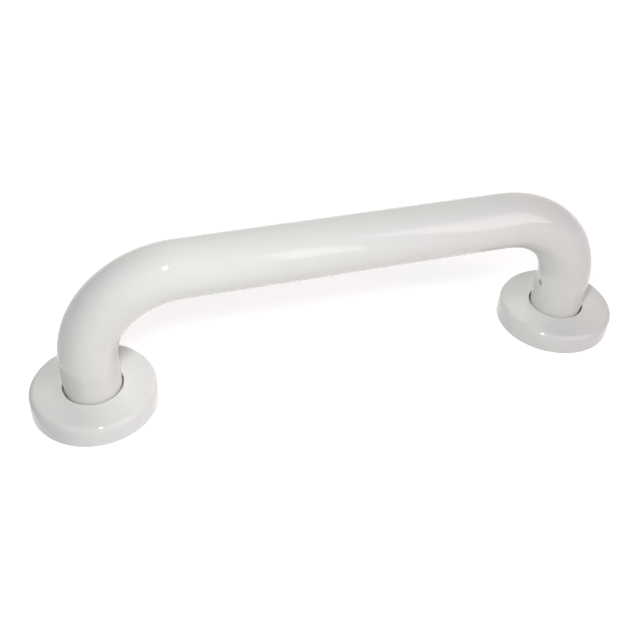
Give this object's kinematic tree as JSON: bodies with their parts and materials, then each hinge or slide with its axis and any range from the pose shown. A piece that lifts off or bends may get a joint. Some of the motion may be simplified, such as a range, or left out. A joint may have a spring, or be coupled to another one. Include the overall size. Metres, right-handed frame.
{
  "type": "grab bar",
  "caption": "Straight wall grab bar: a white coated tube bent at right angles into short legs on round screw plates, each hidden by a round cover that slides up its leg.",
  "frame": {"origin": "on the wall face, midway between the two legs", "axes": "+X along the bar, +Y across the bar along the wall, +Z out of the wall into the room"},
  "size_m": [0.3734, 0.0734, 0.1025],
  "materials": {
    "white_coat": "smooth gloss white coat on steel",
    "white_cover": "moulded gloss white plastic"
  },
  "bodies": {
    "rail": {"grab_tube": "white_coat", "left_mounting_plate": "white_coat", "left_weld_bead": "white_coat", "right_mounting_plate": "white_coat", "right_weld_bead": "white_coat"},
    "left_cover": {"left_cover": "white_cover"},
    "right_cover": {"right_cover": "white_cover"}
  },
  "joints": [
    {"name": "left_cover_slide", "type": "slide", "parent": "rail", "child": "left_cover", "axis": [0, 0, 1], "range_m": [0, 0.018]},
    {"name": "right_cover_slide", "type": "slide", "parent": "rail", "child": "right_cover", "axis": [0, 0, 1], "range_m": [0, 0.018]}
  ]
}
